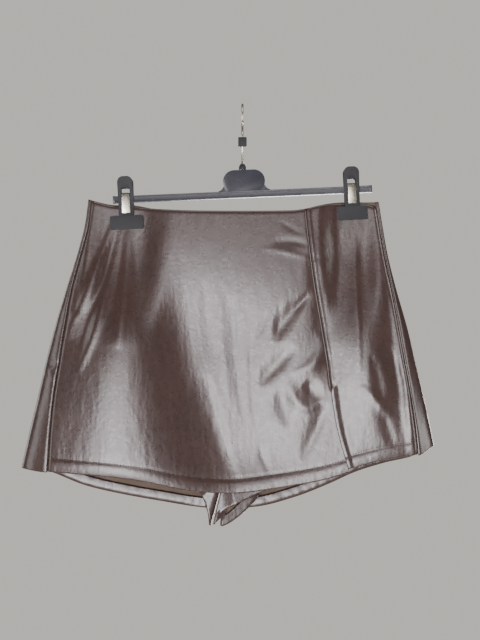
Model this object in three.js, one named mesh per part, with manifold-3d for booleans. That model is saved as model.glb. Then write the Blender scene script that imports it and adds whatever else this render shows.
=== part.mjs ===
// A skort in coated cloth, clipped by its waist to a trouser hanger. Millimetres, +X to the wearer's left,
// +Y to the back, +Z up. The origin is the inner crown of the hook, where a rail carries it all.
import * as THREE from 'three';
import { mergeVertices } from 'three/addons/utils/BufferGeometryUtils.js';
import Module from 'manifold-3d';

const wasm = await Module();
wasm.setup();

// ---------------------------------------------------------------- driving dimensions
const CLOTH = 1.2;                 // coated cloth with its knitted backing
const GAP = 0.3;                   // between pieces that are sewn or rest together
const LAYER = CLOTH + GAP;         // from the middle of one layer to the middle of the next
const HEM = 13.4;                  // depth of the legs' turned-up hem
const SLIT_TOP = -352;             // where the wrap seam ends and the slit opens
const UNDERLAP = 14;               // how far the side piece runs under the slit edge
const UNDERLAP_DROP = 2.2;         // how far behind the slit edge it lies
const CROTCH_Z = -438;             // where the middle seams end and the seam between the legs begins
const CROTCH_ROW = 0.845;          // the row of a leg's grid that meets it
const CROTCH_SAG = 20;             // drop of the seam between the legs, from front or back to its middle
const ZIP_TOP = -127;               // top and bottom of the concealed zip
const ZIP_END = -313;
const ZIP_WIDTH = 2.6;             // its closed coil
const OVERLAY_ROOM = 4;            // most room between the skirt and the shorts behind it
const TUBE_ROUND = 9;              // a higher power keeps the tube flat closer to its folds
const WAIST_Z = -120;              // nominal heights of the waist and of the hems, for finding a
const HEM_Z = -450;                // column's ends on them
const SHORTS_INSET = 4.5;          // side edge of the shorts' fronts, inside the side seams
const INNER_WALL = 0.95;           // middle of an inner leg's wall, from the plane between the legs
const CLAMPED_FRONT = 1.9;         // middle of the skirt panel in front of the clamp plane
const CLAMPED_BACK = 1.3;          // middle of the back panel behind the clamp plane

const BAR_Z = -109.3;              // middle of the hanger's bar below the hook's crown
const BAR_TILT = 2.45 * Math.PI / 180;
const BAR_LENGTH = 319.4;
const BAR_HEIGHT = 8.6;
const BAR_DEPTH = 7;

const table = (columns, ...rows) =>
  rows.map((row) => Object.fromEntries(columns.map((name, i) => [name, row[i]])));

// Outline of the flattened garment at each height: the left fold, the left side seam, the wrap seam or slit
// edge, the right side seam, the right fold, the middle seam of the shorts, and how far the front and the back
// of the tube stand out from its middle plane.
const LEVELS = table(
  ['z', 'left', 'seamLeft', 'wrap', 'seamRight', 'right', 'middle', 'front', 'back'],
  [-500, -285.0, -241.0, 146.0, 220.0, 252.5, -25, 19.2, 24.0],
  [-450, -273.0, -238.2, 131.3, 216.5, 242.0, -22, 18.7, 22.8],
  [-400, -261.5, -235.4, 117.1, 212.6, 231.6, -20, 18.1, 21.2],
  [-355, -250.7, -231.0, 109.5, 206.0, 221.7, -18, 17.4, 19.4],
  [-315, -241.6, -224.6, 105.0, 198.7, 212.2, -16, 16.4, 17.4],
  [-275, -231.2, -218.7, 98.5, 191.3, 203.0, -15, 14.5, 15.2],
  [-225, -216.4, -209.8, 90.1, 182.6, 188.8, -13, 11.4, 13.0],
  [-185, -203.8, -199.6, 84.4, 174.6, 178.8, -12, 8.0, 10.4],
  [-150, -194.5, -190.3, 80.3, 168.4, 172.5, -11, 4.8, 7.8],
  [-116, -189.5, -185.3, 77.0, 162.9, 167.0, -11, 2.8, 6.0],
);

// Height of the waist edge, front and back.
const WAIST = table(
  ['x', 'front', 'back'],
  [-190, -116.0, -115.5],
  [-161, -123.4, -122.0],
  [-134, -124.6, -122.5],
  [-102, -127.7, -128.0],
  [-52, -129.6, -131.0],
  [58, -129.4, -131.0],
  [78, -127.0, -128.0],
  [96, -122.8, -122.0],
  [120, -121.0, -119.0],
  [152, -122.2, -118.8],
  [168, -126.0, -118.5],
);

// Height of each hem.
const SKIRT_HEM = table(
  ['x', 'z'],
  [-240, -449], [-167, -454.3], [-125, -460], [-68, -472], [-20, -476], [17, -473], [96, -460], [131.5, -450],
);
const SIDE_HEM = table(['x', 'z'], [112, -451], [132, -446.5], [173, -435.5], [216, -428.5]);
const BACK_HEM = table(
  ['x', 'z'],
  [-272, -445], [-240, -451], [-195, -468], [-157, -477.5], [-104, -487.5], [-42, -497], [17, -495.5],
  [63, -483.5], [102, -468.5], [140, -452], [178, -440.5], [214, -432], [236, -420.5],
);
const WRAPPED_HEM = table(['x', 'z'], [-272, -445], [-238, -449], [216, -429], [236, -420.5]);
const FRONT_LEG_HEM = {
  left: table(['x', 'z'], [-238, -445], [-150, -449], [-100, -455], [-60, -466]),
  right: table(['x', 'z'], [-8, -489], [14, -478], [60, -460], [120, -441], [200, -425], [220, -422]),
};

// Where the hem of each leg runs past the middle, round the inner leg to the inseam: the spare cloth of the
// crotch hangs in folds there.
const PLACE = ['x', 'y', 'z'];
const INNER_HEM = {
  back_left: table(PLACE, [-41.5, 18, -503], [-40.3, 12, -509], [-39.6, 6, -514], [-39.2, 0.4, -516.5]),
  front_left: table(PLACE, [-50, -4, -478], [-43, -4, -496], [-40, -3, -510], [-39.2, -0.4, -516.1]),
  back_right: table(
    PLACE,
    [-2, 19, -499], [4, 16, -494.5], [13, 13.5, -487], [19.5, 10.5, -481.5], [10, 7.5, -492],
    [-3, 5.5, -504], [-17, 4, -514], [-27, 2.6, -516.5], [-21.2, -1.2, -501.4],
  ),
  front_right: table(PLACE, [-24, -6, -497.5], [-35.5, -6.4, -514], [-29, -4.8, -508], [-21, -2.9, -501]),
};
// Where each leg's hem leaves the middle.
const INNER_X = { back_left: -44, front_left: -60, back_right: 4, front_right: -8 };

// The largest folds of the front and the back: a line through three points, the half width on its left and right
// at either end, the height of the ridge as a share of the tube's depth (a trough is negative), and the share of
// its length over which it grows.
const FOLD = ['side', 'x0', 'z0', 'x1', 'z1', 'x2', 'z2', 'left0', 'left2', 'right0', 'right2', 'height', 'grow'];
const FOLDS = table(
  FOLD,
  ['front', -141, -140, -150, -270, -150, -520, 14, 60, 20, 110, 0.50, 0.40],
  ['front', -76, -125, -66, -300, 24, -520, 40, 70, 50, 190, -0.66, 0.50],
  ['front', 143, -140, 147, -240, 156, -400, 50, 70, 13, 22, 0.22, 0.25],
  ['back', -150, -165, -165, -290, -186, -420, 9, 20, 12, 24, 0.20, 0.25],
  ['back', -126, -175, -118, -310, -108, -450, 40, 60, 80, 90, -0.30, 0.40],
  ['back', 128, -170, 122, -300, 112, -440, 70, 80, 30, 50, -0.25, 0.40],
  ['back', 148, -165, 160, -280, 172, -400, 9, 18, 12, 20, 0.18, 0.25],
);
const FOLD_OUT = 0.35;             // share of a fold's length over which it dies out, and where it ends
const FOLD_END = 1.1;

const CLIPS = table(
  ['name', 'x', 'jawWidth', 'spread'],
  ['clip_left', -143.5, 40.5, 75],
  ['clip_right', 134.5, 36, 50],
);
// Around a clip the layers lie flat: half the flat width, the height where the pinch lets go below the clip, how
// much higher it does so beside it, and the drop over which the layers part again.
const PINCH = { half: 12, bottom: -158, rise: 33, fade: 85 };
const EDGE_BULGE = 8;              // folds die out where the tube is thinner than this

// ---------------------------------------------------------------- smooth curves and the garment's surface
const clamp01 = (t) => Math.min(1, Math.max(0, t));
const smooth = (t) => clamp01(t) ** 2 * (3 - 2 * clamp01(t));
const softer = (t) => clamp01(t) ** 3 * (clamp01(t) * (6 * clamp01(t) - 15) + 10);
const mix = (a, b, t) => a + (b - a) * t;

// Reads a table's column as a smooth curve over its first column.
function curve(rows, column, at) {
  const key = Object.keys(rows[0]).find((name) => typeof rows[0][name] === 'number');
  const last = rows.length - 1;
  let i = rows.findIndex((row) => row[key] > at) - 1;
  if (i < 0) i = at > rows[last][key] ? last - 1 : 0;
  const value = (k) => rows[Math.min(last, Math.max(0, k))][column];
  const place = (k) => rows[Math.min(last, Math.max(0, k))][key];
  const slope = (k) => (value(k + 1) - value(k - 1)) / (place(k + 1) - place(k - 1));
  const span = place(i + 1) - place(i);
  const t = (at - place(i)) / span;
  if (t < 0 || t > 1) return mix(value(i), value(i + 1), t);
  const [a, b] = [value(i), value(i + 1)];
  const [m, n] = [slope(i) * span, slope(i + 1) * span];
  return a + m * t + (3 * (b - a) - 2 * m - n) * t * t + (2 * (a - b) + m + n) * t ** 3;
}
const level = (column, z) => curve(LEVELS, column, z);

// 1 where a clip holds the layers together, 0 away from it.
function clamped(x, z) {
  return Math.max(...CLIPS.map((clip) => {
    const off = Math.abs(x - clip.x);
    const away = softer((off - 16) / 40);
    const below = softer((PINCH.bottom + PINCH.rise * away - z) / (PINCH.fade + 10 * away));
    return (1 - below) * (1 - softer((off - PINCH.half) / clip.spread));
  }));
}

// The relief of the largest folds, as a share of the tube's depth.
function folds(side, x, z) {
  let sum = 0;
  for (const fold of FOLDS.filter((row) => row.side === side)) {
    const t = (fold.z0 - z) / (fold.z0 - fold.z2);
    const bend = (fold.z0 - fold.z1) / (fold.z0 - fold.z2);
    const bow = (fold.x1 - mix(fold.x0, fold.x2, bend)) / (bend * (1 - bend));
    const line = mix(fold.x0, fold.x2, t) + bow * t * (1 - t);
    const width = x < line
      ? mix(fold.left0, fold.left2, clamp01(t))
      : mix(fold.right0, fold.right2, clamp01(t));
    const along = smooth(t / fold.grow) * smooth((FOLD_END - t) / FOLD_OUT);
    sum += fold.height * along * Math.exp(-(((x - line) / width) ** 2));
  }
  return sum;
}

// How far a side of the tube stands out from its middle plane at x, z: rounded at the folds, flatter between.
function bulge(side, x, z) {
  const [left, right] = [level('left', z), level('right', z)];
  const across = Math.min(1, Math.abs((2 * x - left - right) / (right - left)));
  return level(side, z) * Math.sqrt(1 - across ** TUBE_ROUND);
}
function clothY(side, x, z, clampedAt) {
  const out = bulge(side, x, z);
  const relief = folds(side, x, z) * level(side, z) * smooth(out / EDGE_BULGE);
  return mix(out + relief, Math.min(out, clampedAt), clamped(x, z));
}
const frontY = (x, z) => -clothY('front', x, z, CLAMPED_FRONT);
const backY = (x, z) => clothY('back', x, z, CLAMPED_BACK);

// ---------------------------------------------------------------- cloth walls
// A grid of points (rows of columns, null where there is no cloth) becomes its triangles.
function cells(grid) {
  const faces = [];
  for (let i = 0; i + 1 < grid.length; i += 1) {
    for (let j = 0; j + 1 < grid[i].length; j += 1) {
      const corners = [[i, j], [i + 1, j], [i + 1, j + 1], [i, j + 1]];
      if (corners.every(([r, c]) => grid[r][c])) faces.push(corners);
    }
  }
  return faces;
}

function normals(grid) {
  const sum = grid.map((row) => row.map((point) => point && new THREE.Vector3()));
  for (const corners of cells(grid)) {
    const [a, b, c, d] = corners.map(([r, k]) => grid[r][k]);
    const normal = c.clone().sub(a).cross(d.clone().sub(b)).normalize();
    for (const [r, k] of corners) sum[r][k].add(normal);
  }
  return sum.map((row) => row.map((vector) => vector && vector.normalize()));
}

const moved = (grid, distance) => {
  const out = normals(grid);
  return grid.map((row, i) => row.map((p, j) => p && p.clone().addScaledVector(out[i][j], distance)));
};

// A closed wall of the given thickness about a grid of points.
function wall(grid, thickness = CLOTH) {
  const sheets = [moved(grid, thickness / 2), moved(grid, -thickness / 2)];
  const positions = [];
  const index = new Map();
  const id = (sheet, r, c) => {
    const key = `${sheet}/${r}/${c}`;
    if (!index.has(key)) {
      index.set(key, positions.length / 3);
      positions.push(...sheets[sheet][r][c].toArray());
    }
    return index.get(key);
  };
  const triangles = [];
  const edges = new Map();
  for (const corners of cells(grid)) {
    const outer = corners.map(([r, c]) => id(0, r, c));
    const inner = corners.map(([r, c]) => id(1, r, c));
    triangles.push(outer[0], outer[1], outer[2], outer[0], outer[2], outer[3]);
    triangles.push(inner[0], inner[2], inner[1], inner[0], inner[3], inner[2]);
    for (let k = 0; k < 4; k += 1) {
      const next = (k + 1) % 4;
      const back = `${corners[next]}-${corners[k]}`;
      if (edges.has(back)) edges.delete(back);
      else edges.set(`${corners[k]}-${corners[next]}`, [outer[k], outer[next], inner[next], inner[k]]);
    }
  }
  for (const [a, b, c, d] of edges.values()) triangles.push(a, d, c, a, c, b);
  const geometry = new THREE.BufferGeometry();
  geometry.setAttribute('position', new THREE.Float32BufferAttribute(positions, 3));
  geometry.setIndex(triangles);
  return geometry;
}

const steps = (count) => Array.from({ length: count + 1 }, (_, i) => i / count);
const point = (x, y, z) => new THREE.Vector3(x, y, z);

// A panel of the front, between two side lines and from the waist to its hem; its outer face looks forward.
function frontGrid({ columns, rows, from, to, hem, y, top = (x) => curve(WAIST, 'front', x) }) {
  return rows.map((v) => columns.map((u) => {
    const topX = mix(from(WAIST_Z), to(WAIST_Z), u);
    const endX = mix(from(HEM_Z), to(HEM_Z), u);
    const z = mix(top(topX), hem(endX), v);
    const x = mix(from(z), to(z), u);
    return point(x, y(x, z), z);
  }));
}

// ---------------------------------------------------------------- skirt
const skirtFront = frontGrid({
  columns: steps(30),
  rows: steps(16),
  from: (z) => level('seamLeft', z) + 1.5 * GAP,
  to: (z) => level('wrap', z) - GAP / 2,
  hem: (x) => curve(SKIRT_HEM, 'z', x),
  y: frontY,
});

// Below the slit's top the side piece drops behind the slit edge and runs on under it.
const underlap = (x, z) => {
  const near = smooth((level('wrap', z) + 9 - x) / 7);
  return UNDERLAP_DROP * near * smooth((SLIT_TOP + 14 - z) / 12);
};
const skirtSide = frontGrid({
  columns: [0, 0.06, 0.12, 0.19, 0.27, 0.36, 0.45, 0.54, 0.63, 0.72, 0.81, 0.9, 1],
  rows: steps(20),
  from: (z) => level('wrap', z) + GAP / 2 - UNDERLAP * smooth((SLIT_TOP - 1 - z) / 14),
  to: (z) => level('seamRight', z) - 1.5 * GAP,
  hem: (x) => curve(SIDE_HEM, 'z', x),
  y: (x, z) => frontY(x, z) + underlap(x, z),
});

// ---------------------------------------------------------------- shorts
// The seam between the legs, from the front or back wall (0) to the middle of the crotch (1).
function crotch(start, share, side) {
  const y = mix(start.y, Math.sign(start.y) * 2 * GAP, share);
  const z = start.z - CROTCH_SAG * Math.sin(share * Math.PI / 2);
  return point(level('middle', z) + side * INNER_WALL, y, z);
}

// Adds the columns of the crotch extension at the inner end of a leg's grid.
function withInnerLeg(grid, rows, name, side) {
  const hem = INNER_HEM[name];
  return grid.map((row, i) => {
    const down = (rows[i] - CROTCH_ROW) / (1 - CROTCH_ROW);
    const inner = hem.map(({ x, y, z }, k) => {
      if (down < -1e-6) return null;
      const top = crotch(grid[rows.indexOf(CROTCH_ROW)][0], (k + 1) / hem.length, side);
      return top.lerp(point(x, y, z), down);
    });
    return [...inner.reverse(), ...row];
  });
}

// Height in a leg's column at share u of the way out from the middle and row v down.
function legHeight(top, end, u, v) {
  const split = mix(CROTCH_Z, mix(top, end, CROTCH_ROW), Math.min(1, u));
  return v < CROTCH_ROW ? mix(top, split, v / CROTCH_ROW) : mix(split, end, (v - CROTCH_ROW) / (1 - CROTCH_ROW));
}

const LEG_ROWS = [0, 0.05, 0.1, 0.15, 0.21, 0.28, 0.36, 0.45, 0.55, 0.65, 0.75, CROTCH_ROW, 0.9, 0.95, 1];

// The inner line of a leg: the middle seam down to the crotch, then out to where its hem leaves the middle.
const innerLine = (name, side) => (z, v) => {
  const open = Math.max(0, (v - CROTCH_ROW) / (1 - CROTCH_ROW));
  return mix(level('middle', z) + side * GAP, INNER_X[name], open);
};

// Front legs lie behind the skirt, from the middle seam (0) out to the side seam (1).
function frontLeg(name, side) {
  const inner = innerLine(name, side);
  const seam = side < 0
    ? (z) => level('seamLeft', z) + SHORTS_INSET
    : (z) => level('seamRight', z) - SHORTS_INSET;
  const hem = FRONT_LEG_HEM[side < 0 ? 'left' : 'right'];
  const grid = LEG_ROWS.map((v) => steps(18).map((u) => {
    const topX = mix(inner(WAIST_Z, 0), seam(WAIST_Z), u);
    const endX = mix(INNER_X[name], seam(HEM_Z), u);
    const z = legHeight(curve(WAIST, 'front', topX), curve(hem, 'z', endX), u, v);
    const x = mix(inner(z, v), seam(z), u);
    const room = OVERLAY_ROOM * smooth(v / 0.3) * Math.sin(Math.PI * clamp01((1.25 - u) / 1.25)) ** 0.5;
    const step = side > 0 ? UNDERLAP_DROP + GAP : 0;
    const pass = smooth((SLIT_TOP + 40 - z) / 30) * smooth((150 - x) / 15);
    return point(x, frontY(x, z) + LAYER + GAP / 2 + Math.max(room, step * pass) * (1 - clamped(x, z)), z);
  }));
  return withInnerLeg(grid, LEG_ROWS, name, side);
}

const ROUND_THE_FOLD = [1.12, 1.45, 2];  // columns past the side fold, up to the seam at 2

// Back legs go from the middle seam round the side fold to the side seam, which lies on the front.
function backLeg(name, side) {
  const inner = innerLine(name, side);
  const fold = side < 0 ? 'left' : 'right';
  const seam = side < 0 ? 'seamLeft' : 'seamRight';
  const across = [...steps(14).map((s) => Math.sin(s * Math.PI / 2)), ...ROUND_THE_FOLD];
  const grid = LEG_ROWS.map((v) => across.map((u) => {
    const shareX = (z) => (u <= 1
      ? mix(inner(z, v), level(fold, z), u)
      : mix(level(fold, z), level(seam, z) + side * GAP / 2, (u - 1) ** 2));
    const endX = u <= 1 ? mix(INNER_X[name], level(fold, HEM_Z), u) : shareX(HEM_Z);
    const end = curve(u <= 1 ? BACK_HEM : WRAPPED_HEM, 'z', endX);
    const z = legHeight(curve(WAIST, 'back', shareX(WAIST_Z)), end, u, v);
    const x = shareX(z);
    return point(x, u <= 1 ? backY(x, z) : frontY(x, z), z);
  }));
  return withInnerLeg(grid, LEG_ROWS, name, side);
}

// A strip of a leg's own last rows, moved to its inner side: the turned-up hem.
function turnedHem(grid, innerColumns, side) {
  const last = grid.length - 1;
  const strip = [0, 0.5, 0.97].map((share) => grid[last].map((end, j) => {
    const above = grid[last - 1][j];
    const rise = Math.min(1, HEM / above.distanceTo(end));
    return end.clone().lerp(above, rise * (1 - share));
  }));
  return moved(strip, side * (LAYER + 0.1)).map((row) => row.slice(innerColumns + 1, -4));
}

const legs = {
  shorts_front_left: frontLeg('front_left', -1),
  shorts_front_right: frontLeg('front_right', 1),
  shorts_back_left: backLeg('back_left', -1),
  shorts_back_right: backLeg('back_right', 1),
};

// ---------------------------------------------------------------- concealed zip under the left side seam
function zipGrid() {
  return steps(12).map((v) => [-1, 0, 1].map((side) => {
    const z = mix(ZIP_TOP, ZIP_END, v);
    const x = level('seamLeft', z) + side * ZIP_WIDTH / 2;
    return point(x, frontY(x, z), z);
  }));
}

// ---------------------------------------------------------------- hard pieces
const AXES = {
  alongX: [point(0, 1, 0), point(0, 0, 1), point(1, 0, 0)],
  facingFront: [point(1, 0, 0), point(0, 0, 1), point(0, -1, 0)],
};

function extruded(shape, depth, axes, curveSegments = 4) {
  const geometry = new THREE.ExtrudeGeometry(shape, { depth, bevelEnabled: false, curveSegments });
  return geometry.applyMatrix4(new THREE.Matrix4().makeBasis(...axes));
}

// A rectangle with rounded corners, as a shape or as a hole in one.
function rounded(Kind, width, height, radius, x = 0, y = 0) {
  const [w, h] = [width / 2 - radius, height / 2 - radius];
  const path = new Kind();
  path.moveTo(x + w, y - height / 2);
  path.absarc(x + w, y - h, radius, -Math.PI / 2, 0);
  path.absarc(x + w, y + h, radius, 0, Math.PI / 2);
  path.absarc(x - w, y + h, radius, Math.PI / 2, Math.PI);
  path.absarc(x - w, y - h, radius, Math.PI, 1.5 * Math.PI);
  return path;
}

function solid(geometry) {
  const bare = geometry.clone();
  bare.deleteAttribute('normal');
  bare.deleteAttribute('uv');
  const merged = mergeVertices(bare, 1e-4);
  const vertProperties = new Float32Array(merged.attributes.position.array);
  const triVerts = new Uint32Array(merged.index.array);
  return new wasm.Manifold(new wasm.Mesh({ numProp: 3, vertProperties, triVerts }));
}

function geometryOf(body) {
  const mesh = body.getMesh();
  const geometry = new THREE.BufferGeometry();
  geometry.setAttribute('position', new THREE.BufferAttribute(mesh.vertProperties, 3));
  geometry.setIndex(new THREE.BufferAttribute(mesh.triVerts, 1));
  return geometry;
}

const joined = (...geometries) => geometryOf(geometries.map(solid).reduce((a, b) => a.add(b)));

// Bar of I section with the badge plate on it, moulded in one, in the hanger's own frame.
const BADGE = { width: 51.8, height: 27.9, depth: 5, x: 2.6, z: 16.3 };
function mouldingGeometry() {
  const [d, h, web, flange] = [BAR_DEPTH / 2, BAR_HEIGHT / 2, 1.3, 1.9];
  const section = new THREE.Shape([
    [-d, -h], [d, -h], [d, flange - h], [web, flange - h], [web, h - flange], [d, h - flange],
    [d, h], [-d, h], [-d, h - flange], [-web, h - flange], [-web, flange - h], [-d, flange - h],
  ].map(([y, z]) => new THREE.Vector2(y, z)));
  const bar = extruded(section, BAR_LENGTH, AXES.alongX).translate(-BAR_LENGTH / 2, 0, 0);
  const endShape = rounded(THREE.Shape, BAR_DEPTH + 0.6, BAR_HEIGHT + 0.6, 1.2);
  const ends = [-1, 1].map((side) =>
    extruded(endShape, 3, AXES.alongX).translate(side * (BAR_LENGTH / 2 - 1.5) - 1.5, 0, 0));
  const plate = extruded(rounded(THREE.Shape, BADGE.width, BADGE.height, BADGE.height / 2 - 0.01),
    BADGE.depth, AXES.facingFront, 16).translate(BADGE.x, BADGE.depth / 2, BADGE.z);
  // Concave fillets on both sides carry the plate down into the bar.
  const foot = new THREE.Shape();
  const [reach, rise] = [BADGE.width / 2 + 15, 13];
  foot.moveTo(-reach, 0);
  foot.quadraticCurveTo(-BADGE.width / 2 + 2, 0, -BADGE.width / 2 + 1.5, rise);
  foot.lineTo(BADGE.width / 2 - 1.5, rise);
  foot.quadraticCurveTo(BADGE.width / 2 - 2, 0, reach, 0);
  const fillets = extruded(foot, 3.6, AXES.facingFront).translate(BADGE.x, 1.8, h - 1);
  return joined(bar, plate, fillets, ...ends);
}

// Half of a clip: a lever with a window above the bar, flared at the top, and a wide jaw at the bottom.
const LEVER = { width: 18.6, thick: 2.5, clear: 3.8, top: 29, flare: 0.24 };
const FLARE_START = -5;
const WINDOW = { width: 10.8, bottom: -3.8, top: 15 };
const JAW = { top: -20.5, bottom: -37, thick: 3.6 };
function clipHalf(jawWidth, jawInner) {
  const upperHeight = LEVER.top + 3;
  const upperShape = new THREE.Shape();
  const w = LEVER.width / 2;
  upperShape.moveTo(-w, FLARE_START);
  upperShape.lineTo(w, FLARE_START);
  upperShape.absarc(w - 7, LEVER.top - 7, 7, 0, Math.PI / 2);
  upperShape.absarc(-w + 7, LEVER.top - 7, 7, Math.PI / 2, Math.PI);
  const windowHeight = WINDOW.top - WINDOW.bottom;
  upperShape.holes.push(
    rounded(THREE.Path, WINDOW.width, windowHeight, 3, 0, WINDOW.bottom + windowHeight / 2));
  const upper = extruded(upperShape, LEVER.thick, AXES.facingFront);
  upper.translate(0, 0, -FLARE_START).rotateX(LEVER.flare).translate(0, -LEVER.clear, FLARE_START);
  const lowerShape = rounded(THREE.Shape, LEVER.width, 34, 0.6, 0, -14.4);
  const lower = extruded(lowerShape, LEVER.thick, AXES.facingFront).translate(0, -LEVER.clear, 0);
  const jawHeight = JAW.top - JAW.bottom;
  const jawShape = rounded(THREE.Shape, jawWidth, jawHeight, 1.6, 0, JAW.top - jawHeight / 2);
  const jaw = extruded(jawShape, JAW.thick, AXES.facingFront).translate(0, -jawInner, 0);
  const windowCut = extruded(rounded(THREE.Shape, WINDOW.width, 12, 1, 0, WINDOW.bottom + 6),
    20, AXES.facingFront, 3);
  const openLower = solid(lower).subtract(solid(windowCut.translate(0, 4, 0)));
  return geometryOf(openLower.add(solid(upper)).add(solid(jaw)));
}

// The clip's flat steel spring: over the bar through both windows, and down the outside of both halves.
const SPRING = { width: 9.8, thick: 0.8, leg: 7.3, crown: 8, bottom: -17 };
function springGeometry() {
  const { leg, crown, bottom, width } = SPRING;
  const path = [[-leg, bottom], [-leg, 2], ...steps(8).slice(1, -1).map((t) => {
    const angle = Math.PI * (1 - t);
    return [leg * Math.cos(angle), 3.4 + (crown - 3.4) * Math.sin(angle)];
  }), [leg, 2], [leg, bottom]];
  return wall(path.map(([y, z]) => [point(width / 2, y, z), point(-width / 2, y, z)]), SPRING.thick);
}

// The hook, seen from the garment's front edge-on: a straight shank, a sway back and a round crown.
const HOOK = { wire: 1.4, inner: 15, shankEnd: -71.7 };
function hookGeometry() {
  const radius = HOOK.inner + HOOK.wire;
  const centreZ = -HOOK.inner;
  const arc = steps(12).map((t) => {
    const angle = Math.PI * t;
    return point(0, radius * Math.cos(angle), centreZ + radius * Math.sin(angle));
  });
  const path = new THREE.CatmullRomCurve3([
    point(0, 0, HOOK.shankEnd), point(0, 0, -60), point(0, 0, -48), point(0, 0, -38),
    point(0, 0.6, -35.5), point(0, 5, -30), point(0, 12.5, -23.5), ...arc,
    point(0, -radius + 0.5, centreZ - 5), point(0, -radius - 1, centreZ - 9),
  ]);
  const section = new THREE.Shape().absarc(0, 0, HOOK.wire, 0, 2 * Math.PI);
  return new THREE.ExtrudeGeometry(section, { steps: 56, curveSegments: 5, extrudePath: path });
}

const BLOCK = { size: 10.5, height: 11.6, z: -39 };
function sizeBlockGeometry() {
  const shape = rounded(THREE.Shape, BLOCK.size, BLOCK.size, 1.5);
  shape.holes.push(new THREE.Path().absarc(0, 0, HOOK.wire + 1.5 * GAP, 0, 2 * Math.PI));
  return new THREE.ExtrudeGeometry(shape, { depth: BLOCK.height, bevelEnabled: false });
}

const COLLAR_HEIGHT = 6.6;
function collarGeometry() {
  const profile = [[0, 0], [4.4, 0], [4.4, 3.8], [3.2, 5.4], [3.2, COLLAR_HEIGHT], [0, COLLAR_HEIGHT]];
  const lathe = new THREE.LatheGeometry(profile.map(([r, z]) => new THREE.Vector2(r, z)), 24);
  return lathe.rotateX(Math.PI / 2);
}

// ---------------------------------------------------------------- materials and the scene graph
const finish = (color, roughness, metalness = 0) =>
  new THREE.MeshStandardMaterial({ color, roughness, metalness });
const leather = finish(0x6a4c42, 0.38);
const hemLeather = finish(0x5e4239, 0.45);
const blackPlastic = finish(0x1d1d20, 0.4);
const greyPlastic = finish(0x5b5c66, 0.25);
const steel = finish(0xd8d4c4, 0.25, 1);
const zipTape = finish(0x3c2b26, 0.8);

const skort = new THREE.Group();
function add(group, name, geometry, material) {
  const mesh = new THREE.Mesh(geometry, material);
  mesh.name = name;
  group.add(mesh);
  return mesh;
}

add(skort, 'skirt_front', wall(skirtFront), leather);
add(skort, 'skirt_side', wall(skirtSide), leather);
for (const [name, grid] of Object.entries(legs)) {
  add(skort, name, wall(grid), leather);
}
add(skort, 'leg_hem_left', wall(turnedHem(legs.shorts_back_left, 4, -1)), hemLeather);
add(skort, 'leg_hem_right', wall(turnedHem(legs.shorts_back_right, 9, 1)), hemLeather);
add(skort, 'side_zip', wall(moved(zipGrid(), -LAYER - 0.15)), zipTape);

const hanger = new THREE.Group();
hanger.position.set(0, 0, BAR_Z);
hanger.rotation.y = -BAR_TILT;
skort.add(hanger);
add(hanger, 'hanger_moulding', mouldingGeometry(), greyPlastic);
for (const { name, x, jawWidth } of CLIPS) {
  const clip = new THREE.Group();
  clip.position.x = x / Math.cos(BAR_TILT);
  hanger.add(clip);
  const clear = CLOTH / 2 + GAP + 0.1;
  add(clip, `${name}_front`, clipHalf(jawWidth, CLAMPED_FRONT + clear), blackPlastic);
  const back = add(clip, `${name}_back`, clipHalf(jawWidth, CLAMPED_BACK + clear), blackPlastic);
  back.rotation.z = Math.PI;
  add(clip, `${name}_spring`, springGeometry(), steel);
}

add(skort, 'hook', hookGeometry(), steel);
add(skort, 'size_block', sizeBlockGeometry(), blackPlastic).position.z = BLOCK.z - BLOCK.height;
add(skort, 'hanger_collar', collarGeometry(), blackPlastic).position.z = HOOK.shankEnd - GAP - COLLAR_HEIGHT;

export default skort;
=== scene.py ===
"""Looks of a leather skort on a clip hanger: fine cloth shells on the forms of its panels, with their
creases, seams, turned-up hems and stitches, and the finish of the hanger. Lengths are in millimetres."""
import math

import bmesh
import bpy
import numpy as np
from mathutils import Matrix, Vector


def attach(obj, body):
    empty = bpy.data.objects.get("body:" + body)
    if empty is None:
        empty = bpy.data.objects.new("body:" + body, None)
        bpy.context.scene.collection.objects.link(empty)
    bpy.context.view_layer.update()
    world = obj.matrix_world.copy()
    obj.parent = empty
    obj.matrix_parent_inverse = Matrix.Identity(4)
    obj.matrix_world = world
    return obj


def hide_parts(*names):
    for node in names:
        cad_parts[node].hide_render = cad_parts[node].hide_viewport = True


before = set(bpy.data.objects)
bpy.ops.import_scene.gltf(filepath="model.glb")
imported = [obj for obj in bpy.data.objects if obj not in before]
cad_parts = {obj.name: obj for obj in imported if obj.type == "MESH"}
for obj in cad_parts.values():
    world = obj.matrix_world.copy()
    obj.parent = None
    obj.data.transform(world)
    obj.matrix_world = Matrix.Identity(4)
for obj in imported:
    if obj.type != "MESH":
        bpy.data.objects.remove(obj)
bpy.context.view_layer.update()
MM = 0.001

# ---------------------------------------------------------------- driving dimensions
CLOTH = 1.2                # coated cloth with its knitted backing
GAP = 0.3                  # between pieces that are sewn or rest together
LAYER = CLOTH + GAP
HEM = 18                   # depth of the skirt's turned-up hem
STITCH_LINE = 16.3         # height of its stitches above the fold
LEG_HEM = 13.4             # the same two for the shorts' legs
LEG_STITCH_LINE = 11.6
SLIT_TOP = -352            # where the wrap seam ends and the slit opens
UNDERLAP = 14              # how far the side piece runs under the slit edge, and how far behind it
UNDERLAP_DROP = 2.2
CROTCH_Z = -438            # where the middle seams end and the seam between the legs begins
CROTCH_SAG = 20            # drop of that seam from front or back to its middle
CROTCH_ROW = 0.845         # the share of a leg's rows above it
WAIST_Z = -120             # nominal heights for finding a column's ends
HEM_Z = -450
SHORTS_INSET = 4.5         # from the side seams to the front legs' outer edges
INNER_WALL = 0.95          # from the middle seam to the cloth on either side of it, between the legs
CLAMPED_FRONT = 1.9        # how far each side stands from the middle plane under a clip
CLAMPED_BACK = 1.3
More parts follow.
